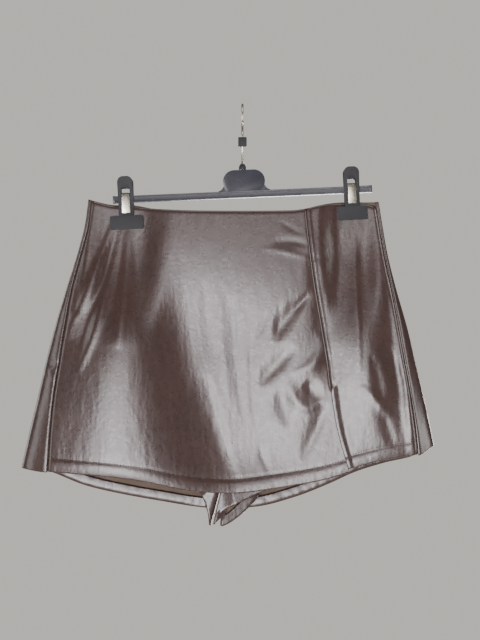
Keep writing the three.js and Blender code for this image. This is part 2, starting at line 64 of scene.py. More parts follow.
OVERLAY_ROOM = 4           # between the skirt and the front legs behind it
EDGE = 0.32                # half thickness at a shell's border, as a share of the cloth's
SEAM_SINK = 1.2            # how far the cloth sinks at a side seam
WRAP_SINK = 1.3            # and at the wrap seam
SLIT_BLEND = 8             # height over which the wrap seam's sink fades out at the slit

# The turned-up hems: the steps up the inside, and the angles that carry the cloth round its fold.
HEM_START = 0.9
HEM_FOLD_ANGLES = (35, 75, 115, 150)
HEM_REACH = 0.85           # the most of a column's length that a hem may take
LEG_HEM_STEP, LEG_HEM_PUFF = 1.9, 1.0
PUFF_CLEAR, PUFF_BLEND = 25, 30   # the puff is absent near the middle seam and grows beyond it

# The skirt's hem: its swell below the stitches, how far they draw it in and over what height.
HEM_SWELL, STITCH_DRAW, STITCH_WIDTH = 0.7, 0.4, 1.7


def table(columns, *rows):
    return {name: np.array([row[i] for row in rows], float) for i, name in enumerate(columns)}


# Outline of the flattened garment at each height.
LEVELS = table(
    ("z", "left", "seamLeft", "wrap", "seamRight", "right", "middle", "front", "back"),
    (-500, -285.0, -241.0, 146.0, 220.0, 252.5, -25, 19.2, 24.0),
    (-450, -273.0, -238.2, 131.3, 216.5, 242.0, -22, 18.7, 22.8),
    (-400, -261.5, -235.4, 117.1, 212.6, 231.6, -20, 18.1, 21.2),
    (-355, -250.7, -231.0, 109.5, 206.0, 221.7, -18, 17.4, 19.4),
    (-315, -241.6, -224.6, 105.0, 198.7, 212.2, -16, 16.4, 17.4),
    (-275, -231.2, -218.7, 98.5, 191.3, 203.0, -15, 14.5, 15.2),
    (-225, -216.4, -209.8, 90.1, 182.6, 188.8, -13, 12.6, 13.0),
    (-185, -203.8, -199.6, 84.4, 174.6, 178.8, -12, 10.4, 10.4),
    (-150, -194.5, -190.3, 80.3, 168.4, 172.5, -11, 8.4, 7.8),
    (-116, -189.5, -185.3, 77.0, 162.9, 167.0, -11, 6.8, 6.0),
)
WAIST = table(
    ("x", "front", "back"),
    (-190, -116.0, -115.5), (-161, -123.4, -122.0), (-134, -124.6, -122.5), (-102, -127.7, -128.0),
    (-52, -129.6, -131.0), (58, -129.4, -131.0), (78, -127.0, -128.0), (96, -122.8, -122.0),
    (120, -121.0, -119.0), (152, -122.2, -118.8), (168, -126.0, -118.5),
)
SKIRT_HEM = table(("x", "z"), (-240, -449), (-167, -454.3), (-125, -460), (-68, -472), (-20, -476),
                  (17, -473), (96, -460), (131.5, -450))
SIDE_HEM = table(("x", "z"), (112, -451), (132, -446.5), (173, -435.5), (216, -428.5))
BACK_HEM = table(("x", "z"), (-272, -445), (-240, -451), (-195, -468), (-157, -477.5), (-104, -487.5),
                 (-42, -497), (17, -495.5), (63, -483.5), (102, -468.5), (140, -452), (178, -440.5),
                 (214, -432), (236, -420.5))
WRAPPED_HEM = table(("x", "z"), (-272, -445), (-238, -449), (216, -429), (236, -420.5))
FRONT_LEG_HEM = {
    "left": table(("x", "z"), (-238, -445), (-150, -449), (-100, -455), (-60, -466)),
    "right": table(("x", "z"), (-8, -489), (14, -478), (60, -460), (120, -441), (200, -425), (220, -422)),
}

# Where the hem of each leg runs round the inner leg, from the leg's middle to the inseam.
INNER_HEM = {
    "back_left": [(-41.5, 18, -503), (-40.3, 12, -509), (-39.6, 6, -514), (-39.2, 0.4, -516.5)],
    "front_left": [(-50, -4, -478), (-43, -4, -496), (-40, -3, -510), (-39.2, -0.4, -516.1)],
    "back_right": [(-2, 19, -499), (4, 16, -494.5), (13, 13.5, -487), (19.5, 10.5, -481.5), (10, 7.5, -492),
                   (-3, 5.5, -504), (-17, 4, -514), (-27, 2.6, -516.5), (-21.2, -1.2, -501.4)],
    "front_right": [(-24, -6, -497.5), (-35.5, -6.4, -514), (-29, -4.8, -508), (-21, -2.9, -501)],
}
INNER_X = {"back_left": -44, "front_left": -60, "back_right": 4, "front_right": -8}

# The largest folds: a line through three points, the half width on its left and right at either end, the
# height of the ridge as a share of the tube's depth (a trough is negative) and the share of its length over
# which it grows.
FOLD_COLUMNS = ("x0", "z0", "x1", "z1", "x2", "z2", "left0", "left2", "right0", "right2", "height", "grow")
FOLDS = {
    "front": table(
        FOLD_COLUMNS,
        (-141, -140, -150, -270, -150, -520, 14, 84, 20, 110, 0.50, 0.40),
        (-68, -125, -60, -300, 24, -520, 36, 70, 84, 190, -0.66, 0.47),
        (82, -165, 96, -260, 112, -352, 7, 13, 7, 13, -0.11, 0.3),
        (104, -150, 108, -260, 116, -420, 32, 38, 30, 34, -0.20, 0.3),
        (143, -140, 147, -240, 156, -400, 50, 70, 15, 26, 0.17, 0.25),
        (172, -135, 188, -240, 212, -440, 6, 8, 7, 9, 0.24, 0.25),
    ),
    "back": table(
        FOLD_COLUMNS,
        (-150, -165, -165, -290, -186, -420, 9, 20, 12, 24, 0.34, 0.25),
        (-126, -175, -118, -310, -108, -450, 40, 60, 80, 90, -0.3, 0.4),
        (128, -170, 122, -300, 112, -440, 70, 80, 30, 50, -0.25, 0.4),
        (148, -165, 160, -280, 172, -400, 9, 18, 12, 20, 0.3, 0.25),
    ),
}
FOLD_OUT, FOLD_END = 0.35, 1.1

# Creases: a curve through three points, the half width on its lower-x (or lower) and on its other side, and
# the height of the ridge (a trough is negative).
CREASE_COLUMNS = ("x0", "z0", "x1", "z1", "x2", "z2", "before", "after", "height")
CREASES = {
    "front": table(
        CREASE_COLUMNS,
        # between the left side seam and the left clip
        (-187, -117, -190, -173, -201, -235, 4, 5, 0.8),
        (-158, -142, -181, -206, -208, -268, 6, 9, 2.1),
        (-204, -252, -210, -268, -215, -290, 6, 8, 1.2),
        (-244, -312, -236, -317, -226, -316, 5, 6, -1.3),
        (-246, -322, -238, -329, -230, -338, 4, 5, 0.8),
        (-171, -212, -189, -264, -200, -300, 6, 6, -1.0),
        (-149, -150, -171, -246, -202, -330, 6, 7, 1.9),
        (-141, -152, -145, -225, -152, -300, 7, 10, 2.4),
        # from the left clip across the front
        (-44, -330, -32, -384, -4, -470, 18, 6, -1.2),
        # drawn in at the wrap seam
        (44, -143, 61, -152, 75, -160, 3.7, 3.7, -0.3),
        (34, -169, 61, -168, 81, -173, 4.9, 4.9, -0.6),
        (24, -176, 56, -181, 83, -190, 3.7, 3.7, 0.4),
        (85, -230, 56, -260, 41, -290, 9, 9, -1.7),
        (82, -232, 72, -243, 62, -257, 3.7, 3.7, -0.5),
        (47, -239, 44, -264, 43, -284, 4.5, 4.5, -0.45),
        (31, -252, 24, -269, 20, -286, 4.5, 4.5, -0.4),
        # the crumple above the slit
        (90, -276, 94, -309, 60, -331, 8, 9, 1.5),
        (57, -338, 72, -369, 94, -366, 7, 7, 1.3),
        (76, -340, 85, -350, 94, -364, 9, 9, -1.8),
        (64, -296, 42, -319, 20, -344, 10, 9, -1.6),
        (44, -350, 50, -370, 56, -396, 9, 9, -1.3),
        (104, -366, 90, -398, 74, -436, 9, 7, -1.3),
        (20, -415, 26, -435, 34, -454, 4, 4, -0.5),
        # faint hanging folds down the middle
        (-12, -235, -8, -315, 6, -400, 6, 6, -0.6),
        (-26, -230, -24, -300, -14, -375, 5, 5, 0.5),
        (13, -270, 11, -335, 16, -395, 5, 5, -0.5),
        (-46, -215, -44, -260, -40, -310, 6, 5, -0.4),
        # the side piece
        (83, -188, 95, -189, 107, -192, 2.5, 3.5, -0.35),
        (139, -160, 140, -235, 144, -330, 8, 4, 1.1),
        (142, -345, 166, -364, 178, -386, 6, 7, 1.1),
        (157, -305, 165, -335, 169, -368, 6, 6, -0.9),
        (176, -292, 190, -330, 200, -370, 9, 6, -0.9),
        (171, -370, 178, -396, 187, -421, 8, 6, -0.8),
    ),
    "back": table(
        CREASE_COLUMNS,
        (-170, -130, -182, -190, -205, -260, 6, 8, 1.5),
        (-128, -165, -112, -235, -84, -320, 9, 7, 1.3),
        (-140, -175, -140, -260, -128, -350, 7, 8, -1.0),
        (166, -130, 176, -190, 196, -268, 8, 6, 1.4),
        (120, -165, 104, -240, 74, -330, 7, 9, 1.3),
        (136, -175, 138, -255, 130, -340, 8, 7, -1.0),
        # above the legs and beside the seam in the middle
        (-24, -300, -44, -360, -84, -412, 9, 7, 0.9),
        (-10, -345, 12, -392, 58, -424, 8, 9, 0.9),
        (-70, -440, -116, -428, -160, -440, 6, 8, 0.7),
        (52, -430, 96, -414, 146, -424, 6, 8, 0.7),
    ),
}

# How the clips hold the layers together: each clip's middle and how far its pinch spreads beside it, the
# half width that is held flat, the height where it lets go below the clip, how much higher it does so beside
# it, and the height over which it lets go.
CLIPS = ((-143.5, 50), (134.5, 34))
PINCH_HALF, PINCH_BOTTOM, PINCH_RISE, PINCH_FADE = 12, -158, 33, 140
BESIDE_START, BESIDE_BLEND, BESIDE_FADE = 16, 40, 10   # where that rise begins and grows, and its added fade
EDGE_BULGE = 8               # folds grow in over this much of the tube's depth, from its edges
CREASE_BULGE = 3             # and creases over this much
CREASE_STEPS = 17            # points along a crease's curve
CREASE_REACH = 2.6           # half widths beyond which a crease is nothing
TUBE_ROUND = 9               # a higher power keeps the tube flat closer to its folds


# ---------------------------------------------------------------- the garment's surface
def smooth(t):
    t = np.clip(t, 0, 1)
    return t * t * (3 - 2 * t)


def softer(t):
    t = np.clip(t, 0, 1)
    return t**3 * (t * (6 * t - 15) + 10)


def mix(a, b, t):
    return a + (b - a) * t


def curve(rows, column, at):
    """A table's column as a smooth curve over the table's first column."""
    place, value = next(iter(rows.values())), rows[column]
    at = np.asarray(at, float)
    up = np.minimum(np.arange(len(place)) + 1, len(place) - 1)
    down = np.maximum(np.arange(len(place)) - 1, 0)
    slope = (value[up] - value[down]) / (place[up] - place[down])
    i = np.clip(np.searchsorted(place, at, "right") - 1, 0, len(place) - 2)
    span = place[i + 1] - place[i]
    t = (at - place[i]) / span
    a, b, m, n = value[i], value[i + 1], slope[i] * span, slope[i + 1] * span
    bent = a + m * t + (3 * (b - a) - 2 * m - n) * t**2 + (2 * (a - b) + m + n) * t**3
    return np.where((t < 0) | (t > 1), mix(a, b, t), bent)


def level(column, z):
    return curve(LEVELS, column, z)


def clamped(x, z):
    """1 where a clip holds the layers together, 0 away from it."""
    total = np.zeros_like(x)
    for clip, spread_beside in CLIPS:
        off = np.abs(x - clip)
        away = softer((off - BESIDE_START) / BESIDE_BLEND)
        below = smooth((PINCH_BOTTOM + PINCH_RISE * away - z) / (PINCH_FADE + BESIDE_FADE * away))
        total = np.maximum(total, (1 - below) * (1 - softer((off - PINCH_HALF) / spread_beside)))
    return total


def folds(side, x, z):
    """The relief of the largest folds, as a share of the tube's depth."""
    total = np.zeros_like(x)
    for x0, z0, x1, z1, x2, z2, left0, left2, right0, right2, height, grow in zip(*FOLDS[side].values()):
        t = (z0 - z) / (z0 - z2)
        bend = (z0 - z1) / (z0 - z2)
        line = mix(x0, x2, t) + (x1 - mix(x0, x2, bend)) * t * (1 - t) / (bend * (1 - bend))
        down = np.clip(t, 0, 1)
        width = np.where(x < line, mix(left0, left2, down), mix(right0, right2, down))
        along = smooth(t / grow) * smooth((FOLD_END - t) / FOLD_OUT)
        total += height * along * np.exp(-(((x - line) / width) ** 2))
    return total


def creases(side, x, z):
    """Heights of the listed creases, each measured across its own curve."""
    total = np.zeros(x.shape)
    for x0, z0, x1, z1, x2, z2, before, after, height in zip(*CREASES[side].values()):
        t = np.linspace(0, 1, CREASE_STEPS)
        middle = 2 * np.array([x1, z1]) - (np.array([x0, z0]) + [x2, z2]) / 2
        path = (np.outer((1 - t) ** 2, [x0, z0]) + np.outer(2 * t * (1 - t), middle)
                + np.outer(t**2, [x2, z2]))
        reach = CREASE_REACH * max(before, after)
        near = ((x > path[:, 0].min() - reach) & (x < path[:, 0].max() + reach)
                & (z > path[:, 1].min() - reach) & (z < path[:, 1].max() + reach))
        if not near.any():
            continue
        point = np.stack([x[near], z[near]], 1)
        best = np.full(len(point), 1e9)
        across, along = np.zeros(len(point)), np.zeros(len(point))
        for k in range(len(t) - 1):
            start, run = path[k], path[k + 1] - path[k]
            share = np.clip(((point - start) @ run) / (run @ run), 0, 1)
            off = point - start - share[:, None] * run
            distance = np.hypot(off[:, 0], off[:, 1])
            closer = distance < best
            best[closer] = distance[closer]
            turn = run[0] * off[:, 1] - run[1] * off[:, 0]
            across[closer] = (np.sign(turn) * distance)[closer]
            along[closer] = ((k + share) / (len(t) - 1))[closer]
        fade = np.clip(4 * along * (1 - along), 0, 1) ** 0.9
        width = np.where(across > 0, after, before) * (0.55 + 0.45 * fade)
        total[near] += height * fade * np.exp(-((across / width) ** 2))
    return total


def bulge(side, x, z):
    """How far a side of the tube stands out from its middle plane."""
    left, right = level("left", z), level("right", z)
    across = np.minimum(1, np.abs((2 * x - left - right) / (right - left)))
    return level(side, z) * np.sqrt(1 - across**TUBE_ROUND)


def cloth_y(side, x, z, clamped_at, fine):
    out = bulge(side, x, z)
    relief = folds(side, x, z) * level(side, z) * smooth(out / EDGE_BULGE)
    y = mix(out + relief, np.minimum(out, clamped_at), clamped(x, z))
    return y + creases(side, x, z) * smooth(out / CREASE_BULGE) if fine else y


def front_y(x, z, fine=True):
    return -cloth_y("front", x, z, CLAMPED_FRONT, fine)


def back_y(x, z, fine=True):
    return cloth_y("back", x, z, CLAMPED_BACK, fine)


# ---------------------------------------------------------------- grids and shells
def spread(length, step, fine=0.35, growth=1.4):
    """Shares of a length, at a step that is finer towards both ends."""
    ramp = [0.0]
    size = fine
    while size < step and ramp[-1] + size < length / 3:
        ramp.append(ramp[-1] + size)
        size *= growth
    count = max(1, math.ceil((length - 2 * ramp[-1]) / step))
    middle = np.linspace(ramp[-1], length - ramp[-1], count + 1)[1:-1]
    return np.concatenate([ramp, middle, length - np.array(ramp[::-1])]) / length


def lengths_along(points):
    """The distance along a line of points, at each of them."""
    return np.concatenate([[0], np.cumsum(np.linalg.norm(np.diff(points, axis=0), axis=1))])


def column_upwards(grid, j):
    """The rows that a grid's column has, from its bottom end."""
    return np.nonzero(~np.isnan(grid[:, j, 0]))[0][::-1]


def cell_corners(grid):
    here = ~np.isnan(grid[..., 0])
    whole = here[:-1, :-1] & here[1:, :-1] & here[1:, 1:] & here[:-1, 1:]
    r, c = np.nonzero(whole)
    columns = grid.shape[1]
    first = r * columns + c
    return np.stack([first, first + columns, first + columns + 1, first + 1], 1)


def grid_normals(grid):
    flat = grid.reshape(-1, 3)
    corners = cell_corners(grid)
    a, b, c, d = (flat[corners[:, k]] for k in range(4))
    face = np.cross(c - a, d - b)
    face /= np.maximum(np.linalg.norm(face, axis=1, keepdims=True), 1e-9)
    total = np.zeros_like(flat)
    for k in range(4):
        np.add.at(total, corners[:, k], face)
    total /= np.maximum(np.linalg.norm(total, axis=1, keepdims=True), 1e-9)
    return total.reshape(grid.shape)


def turned_up(grid, depth, step=2.4, puff=0.0):
    """A sheet's grid with the rows that carry it round its bottom fold and up inside, where it can puff out
    below its stitches."""
    normals = grid_normals(grid)
    rise = np.arange(HEM_START, depth + 0.01, step)
    round_fold = len(HEM_FOLD_ANGLES)
    extra = np.full((len(rise) + round_fold, grid.shape[1], 3), np.nan)
    for j in range(grid.shape[1]):
        here = column_upwards(grid, j)
        if len(here) < 2:
            continue
        points, outward = grid[here, j], normals[here, j]
        run = lengths_along(points)
        down = points[0] - points[1]
        down /= np.linalg.norm(down)
        radius = LAYER / 2
        for k, angle in enumerate(np.radians(HEM_FOLD_ANGLES)):
            extra[k, j] = (points[0] + down * radius * math.sin(angle)
                           - outward[0] * radius * (1 - math.cos(angle)))
        at = np.minimum(rise, HEM_REACH * run[-1])
        x = points[0][0]
        drawn = 0.8 + 0.2 * math.sin(x / 2.1 + 2.4 * math.sin(x / 13))     # uneven, stitch by stitch
        drawn *= smooth((abs(x - LEVELS["middle"][0]) - PUFF_CLEAR) / PUFF_BLEND)
        swell = puff * drawn * np.sin(np.pi * np.clip(rise / LEG_STITCH_LINE, 0, 1) ** 0.6)
        for axis in range(3):
            along = np.interp(at, run, points[:, axis])
            side = np.interp(at, run, outward[:, axis])
            extra[round_fold:, j, axis] = along - side * (LAYER + swell)
    return np.concatenate([grid, extra])


def finish_mesh(name, vertices, faces, materials, face_material=None):
    mesh = bpy.data.meshes.new(name)
    mesh.from_pydata((np.asarray(vertices) * MM).tolist(), [], [list(map(int, f)) for f in faces])
    for material in materials:
        mesh.materials.append(material)
    if face_material is not None:
        mesh.polygons.foreach_set("material_index", np.asarray(face_material, np.int32))
    mesh.polygons.foreach_set("use_smooth", np.ones(len(faces), bool))
    mesh.validate()
    mesh.update()
    piece = bpy.data.objects.new(name, mesh)
    bpy.context.scene.collection.objects.link(piece)
    return piece


def shell(name, grid, replaced, materials):
    """A closed thin wall about a grid of points: leather on its outer face, knitted backing on its inner."""
    normals = grid_normals(grid)
    corners = cell_corners(grid)
    directed = np.concatenate([corners[:, [k, (k + 1) % 4]] for k in range(4)])
    code = directed[:, 0] * grid.size + directed[:, 1]
    back = directed[:, 1] * grid.size + directed[:, 0]
    border = directed[~np.isin(back, code)]
    flat, out = grid.reshape(-1, 3), normals.reshape(-1, 3)
    half = np.full(len(flat), CLOTH / 2)
    half[np.unique(border)] = CLOTH * EDGE
    used = np.unique(corners)
    index = np.full(len(flat), -1)
    index[used] = np.arange(len(used))
    outer = flat[used] + out[used] * half[used, None]
    inner = flat[used] - out[used] * half[used, None]
    vertices = np.concatenate([outer, inner])
    n = len(used)
    faces = np.concatenate([
        index[corners],
        index[corners[:, ::-1]] + n,
        np.stack([index[border[:, 1]], index[border[:, 0]],
                  index[border[:, 0]] + n, index[border[:, 1]] + n], 1),
    ])
    kinds = np.concatenate([np.zeros(len(corners)), np.ones(len(corners)), np.zeros(len(border))])
    piece = finish_mesh(name, vertices, faces, materials, kinds)
    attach(piece, "root")
    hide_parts(*replaced)
    return piece


def panel(u, v, left, right, top, hem, y):
    """A front panel's points between two side lines, from the waist to just above its bottom fold."""
    top_x = mix(left(WAIST_Z), right(WAIST_Z), u)
    end_x = mix(left(HEM_Z), right(HEM_Z), u)
    z = mix(top(top_x)[None, :], hem(end_x)[None, :] + LAYER / 2, v[:, None])
    x = mix(left(z), right(z), u[None, :])
    return np.stack([x, y(x, z), z], -1)


# ---------------------------------------------------------------- materials
def material(name, color, roughness, metallic=0.0, specular=0.5):
    made = bpy.data.materials.new(name)
    made.use_nodes = True
    shader = made.node_tree.nodes["Principled BSDF"]
    shader.inputs["Base Color"].default_value = (*color, 1)
    shader.inputs["Roughness"].default_value = roughness
    shader.inputs["Metallic"].default_value = metallic
    shader.inputs["Specular IOR Level"].default_value = specular
    return made, made.node_tree, shader


def node(tree, kind, settings=None, **inputs):
    made = tree.nodes.new(kind)
    for key, value in (settings or {}).items():
        setattr(made, key, value)
    for key, value in inputs.items():
        socket = made.inputs[key.replace("_", " ")]
        if isinstance(value, bpy.types.NodeSocket):
            tree.links.new(value, socket)
        else:
            socket.default_value = value
    return made


def colour_ramp(tree, factor, *stops):
    ramp = node(tree, "ShaderNodeValToRGB", Fac=factor)
    elements = ramp.color_ramp.elements
    while len(elements) < len(stops):
        elements.new(0.5)
    for element, (place, color) in zip(elements, stops):
        element.position = place
        element.color = (*color, 1)
    return ramp.outputs["Color"]


def leather_material(name, dark, light, roughness):
    made, tree, shader = material(name, dark, roughness, specular=0.9)
    where = node(tree, "ShaderNodeTexCoord").outputs["Object"]
    hanging = node(tree, "ShaderNodeMapping", Vector=where, Scale=(1.0, 1.0, 0.3)).outputs["Vector"]
    tone = node(tree, "ShaderNodeTexNoise", Vector=where, Scale=22.0, Detail=3.0, Roughness=0.6)
    color = colour_ramp(tree, tone.outputs["Fac"], (0.3, dark), (0.72, light))
    tree.links.new(color, shader.inputs["Base Color"])
    wear = node(tree, "ShaderNodeTexNoise", Vector=where, Scale=160.0, Detail=2.0)
    gloss = node(tree, "ShaderNodeMapRange", Value=wear.outputs["Fac"], To_Min=roughness - 0.05,
                 To_Max=roughness + 0.06)
    tree.links.new(gloss.outputs["Result"], shader.inputs["Roughness"])
    grain = node(tree, "ShaderNodeTexVoronoi", {"feature": "DISTANCE_TO_EDGE"}, Vector=where, Scale=1100.0)
    pores = node(tree, "ShaderNodeMapRange", Value=grain.outputs["Distance"], From_Max=0.16)
    ripple = node(tree, "ShaderNodeTexNoise", Vector=where, Scale=260.0, Detail=0.0, Roughness=0.4)
    rough = node(tree, "ShaderNodeBump", Strength=0.25, Distance=0.0003, Height=ripple.outputs["Fac"])
    drag = node(tree, "ShaderNodeTexNoise", Vector=hanging, Scale=95.0, Detail=2.0, Roughness=0.5)
    dragged = node(tree, "ShaderNodeBump", Strength=0.45, Distance=0.0009, Height=drag.outputs["Fac"],
                   Normal=rough.outputs["Normal"])
    fine = node(tree, "ShaderNodeBump", Strength=0.02, Distance=0.0001, Height=pores.outputs["Result"],
                Normal=dragged.outputs["Normal"])
    tree.links.new(fine.outputs["Normal"], shader.inputs["Normal"])
    return made


def backing_material():
    made, tree, shader = material("knit_backing", (0.15, 0.115, 0.088), 0.9, specular=0.2)
    where = node(tree, "ShaderNodeTexCoord").outputs["Object"]
    wales = node(tree, "ShaderNodeTexWave", {"bands_direction": "X"}, Vector=where, Scale=330.0,
                 Distortion=1.5, Detail=1.0)
    courses = node(tree, "ShaderNodeTexWave", {"bands_direction": "Z"}, Vector=where, Scale=260.0,
                   Distortion=1.5, Detail=1.0)
    tone = node(tree, "ShaderNodeTexNoise", Vector=where, Scale=30.0, Detail=3.0)
    color = colour_ramp(tree, tone.outputs["Fac"], (0.3, (0.13, 0.098, 0.075)), (0.7, (0.175, 0.134, 0.104)))
    tree.links.new(color, shader.inputs["Base Color"])
    first = node(tree, "ShaderNodeBump", Strength=0.35, Distance=0.0002, Height=wales.outputs["Fac"])
    second = node(tree, "ShaderNodeBump", Strength=0.3, Distance=0.0002, Height=courses.outputs["Fac"],
                  Normal=first.outputs["Normal"])
    tree.links.new(second.outputs["Normal"], shader.inputs["Normal"])
    shader.inputs["Sheen Weight"].default_value = 0.2
    return made


def moulded_material(name, color, roughness, texture=0.08, specular=0.5):
    made, tree, shader = material(name, color, roughness, specular=specular)
    where = node(tree, "ShaderNodeTexCoord").outputs["Object"]
    noise = node(tree, "ShaderNodeTexNoise", Vector=where, Scale=900.0, Detail=3.0)
    bump = node(tree, "ShaderNodeBump", Strength=texture, Distance=0.0002, Height=noise.outputs["Fac"])
    tree.links.new(bump.outputs["Normal"], shader.inputs["Normal"])
    smear = node(tree, "ShaderNodeTexNoise", Vector=where, Scale=60.0, Detail=3.0)
    gloss = node(tree, "ShaderNodeMapRange", Value=smear.outputs["Fac"], To_Min=roughness - 0.06,
                 To_Max=roughness + 0.08)
    tree.links.new(gloss.outputs["Result"], shader.inputs["Roughness"])
    return made


def steel_material():
    made, tree, shader = material("plated_steel", (0.62, 0.58, 0.47), 0.28, metallic=1.0)
    where = node(tree, "ShaderNodeTexCoord").outputs["Object"]
    noise = node(tree, "ShaderNodeTexNoise", Vector=where, Scale=500.0, Detail=2.0)
    gloss = node(tree, "ShaderNodeMapRange", Value=noise.outputs["Fac"], To_Min=0.2, To_Max=0.38)
    tree.links.new(gloss.outputs["Result"], shader.inputs["Roughness"])
    return made


leather = leather_material("leather", (0.034, 0.0155, 0.0115), (0.047, 0.0225, 0.017), 0.28)
backing = backing_material()
thread = moulded_material("thread", (0.016, 0.009, 0.007), 0.7, 0.2)
black_plastic = moulded_material("black_plastic", (0.030, 0.030, 0.033), 0.55, specular=0.25)
grey_plastic = moulded_material("grey_plastic", (0.038, 0.038, 0.049), 0.25, 0.03, specular=0.5)
steel = steel_material()
zip_coil = moulded_material("zip_coil", (0.04, 0.026, 0.02), 0.5)
CLOTH_FACES = [leather, backing]


# ---------------------------------------------------------------- skirt
def seam_left(z):
    return level("seamLeft", z) + 1.5 * GAP


def seam_right(z):
    return level("seamRight", z) - 1.5 * GAP


def groove(distance, depth, width):
    """How far a sewn edge sinks, by the distance from it."""
    return depth * np.exp(-((distance / width) ** 2))


def waist_roll(x, z):
    """The waist edge rolls back over its last few millimetres."""
    below = curve(WAIST, "front", x) - z
    return 1.3 * np.clip(1 - below / 3.4, 0, 1) ** 2


def hem_puff(above):
    """The doubled hem swells below its stitches, which draw it in."""
    swell = np.sin(np.pi * np.clip(above / STITCH_LINE, 0, 1)) * (above < STITCH_LINE)
    return HEM_SWELL * swell - STITCH_DRAW * np.exp(-(((above - STITCH_LINE) / STITCH_WIDTH) ** 2))


def skirt_front_y(x, z):
    y = front_y(x, z) + waist_roll(x, z)
    y = y + groove(x - seam_left(z), SEAM_SINK, 1.6)
    to_wrap = level("wrap", z) - x
    y = y + groove(to_wrap, WRAP_SINK, 1.3) * smooth((z - SLIT_TOP) / SLIT_BLEND)
    return y - hem_puff(z - curve(SKIRT_HEM, "z", x))


def skirt_front_grid():
    u, v = spread(372, 2.0), spread(330, 2.1, 0.5)
    return panel(u, v, seam_left, lambda z: level("wrap", z) - GAP / 2, lambda x: curve(WAIST, "front", x),
                 lambda x: curve(SKIRT_HEM, "z", x), skirt_front_y)


def underlap(x, z):
    near = smooth((level("wrap", z) + 9 - x) / 7)
    return UNDERLAP_DROP * near * smooth((SLIT_TOP + 14 - z) / 12)


def skirt_side_y(x, z):
    y = front_y(x, z) + underlap(x, z) + waist_roll(x, z)
    beside = x - level("wrap", z)
    sunk = groove(beside, WRAP_SINK, 0.9) - groove(beside - 3, 0.5, 1.8)
    y = y + sunk * smooth((z - SLIT_TOP) / SLIT_BLEND)
    y = y + groove(seam_right(z) - x, SEAM_SINK, 1.6)
    return y - hem_puff(z - curve(SIDE_HEM, "z", x))


def skirt_side_grid():
    u, v = spread(100, 2.0), spread(310, 2.1, 0.5)

    def inner_edge(z):
        return level("wrap", z) + GAP / 2 - UNDERLAP * smooth((SLIT_TOP - 1 - z) / 14)

    return panel(u, v, inner_edge, seam_right, lambda x: curve(WAIST, "front", x),
                 lambda x: curve(SIDE_HEM, "z", x), skirt_side_y)


# ---------------------------------------------------------------- shorts
def leg_height(top, end, u, v):
    split = mix(CROTCH_Z, mix(top, end, CROTCH_ROW), np.minimum(1, u))
    upper = mix(top, split, v / CROTCH_ROW)
    return np.where(v < CROTCH_ROW, upper, mix(split, end, (v - CROTCH_ROW) / (1 - CROTCH_ROW)))


def inner_line(name, side, z, v):
    opened = np.maximum(0, (v - CROTCH_ROW) / (1 - CROTCH_ROW))
    return mix(level("middle", z) + side * GAP, INNER_X[name], opened)


def smooth_path(points, shares):
    """A smooth curve through points, read at shares of its length in points."""
    points = np.asarray(points, float)
    rows = {"t": np.linspace(0, 1, len(points))}
    for axis, name in enumerate("xyz"):
        rows[name] = points[:, axis]
    return np.stack([curve(rows, name, shares) for name in "xyz"], -1)


def with_inner_leg(grid, rows, name, side):
    """Adds the columns of the crotch extension at the inner end of a leg's grid."""
    first = int(np.argmin(np.abs(rows - CROTCH_ROW)))
    count = 6 * len(INNER_HEM[name])
    shares = np.arange(1, count + 1) / count
    start = grid[first, 0]
    seam_z = start[2] - CROTCH_SAG * np.sin(shares * np.pi / 2)
    seam = np.stack([level("middle", seam_z) + side * INNER_WALL,
                     mix(start[1], np.sign(start[1]) * 2 * GAP, shares), seam_z], -1)
    hem = smooth_path([grid[-1, 0], *INNER_HEM[name]], shares)
    extra = np.full((len(rows), count, 3), np.nan)
    for i in range(first, len(rows)):
        extra[i] = mix(seam, hem, (rows[i] - CROTCH_ROW) / (1 - CROTCH_ROW))
    return np.concatenate([extra[:, ::-1], grid], axis=1)


def leg_rows(above, below):
    return np.concatenate([np.linspace(0, CROTCH_ROW, above + 1), np.linspace(CROTCH_ROW, 1, below + 1)[1:]])


def front_leg_grid(name, side):
    rows, u = leg_rows(60, 22), spread(200, 4.0, 1.2)[None, :]
    v = rows[:, None]

    def seam(z):
        return level("seamLeft", z) + SHORTS_INSET if side < 0 else level("seamRight", z) - SHORTS_INSET

    hem = FRONT_LEG_HEM["left" if side < 0 else "right"]
    top_x = mix(inner_line(name, side, WAIST_Z, 0), seam(WAIST_Z), u)
    end_x = mix(INNER_X[name], seam(HEM_Z), u)
    z = leg_height(curve(WAIST, "front", top_x), curve(hem, "z", end_x), u, v)
    x = mix(inner_line(name, side, z, v), seam(z), u)
    room = OVERLAY_ROOM * smooth(v / 0.3) * np.sqrt(np.sin(np.pi * np.clip((1.25 - u) / 1.25, 0, 1)))
    step = UNDERLAP_DROP + GAP if side > 0 else 0
    passing = smooth((SLIT_TOP + 40 - z) / 30) * smooth((150 - x) / 15)
    y = front_y(x, z, False) + LAYER + GAP / 2 + np.maximum(room, step * passing) * (1 - clamped(x, z))
    grid = with_inner_leg(np.stack([x, y, z], -1), rows, name, side)
    return grid[:, ::-1] if side < 0 else grid


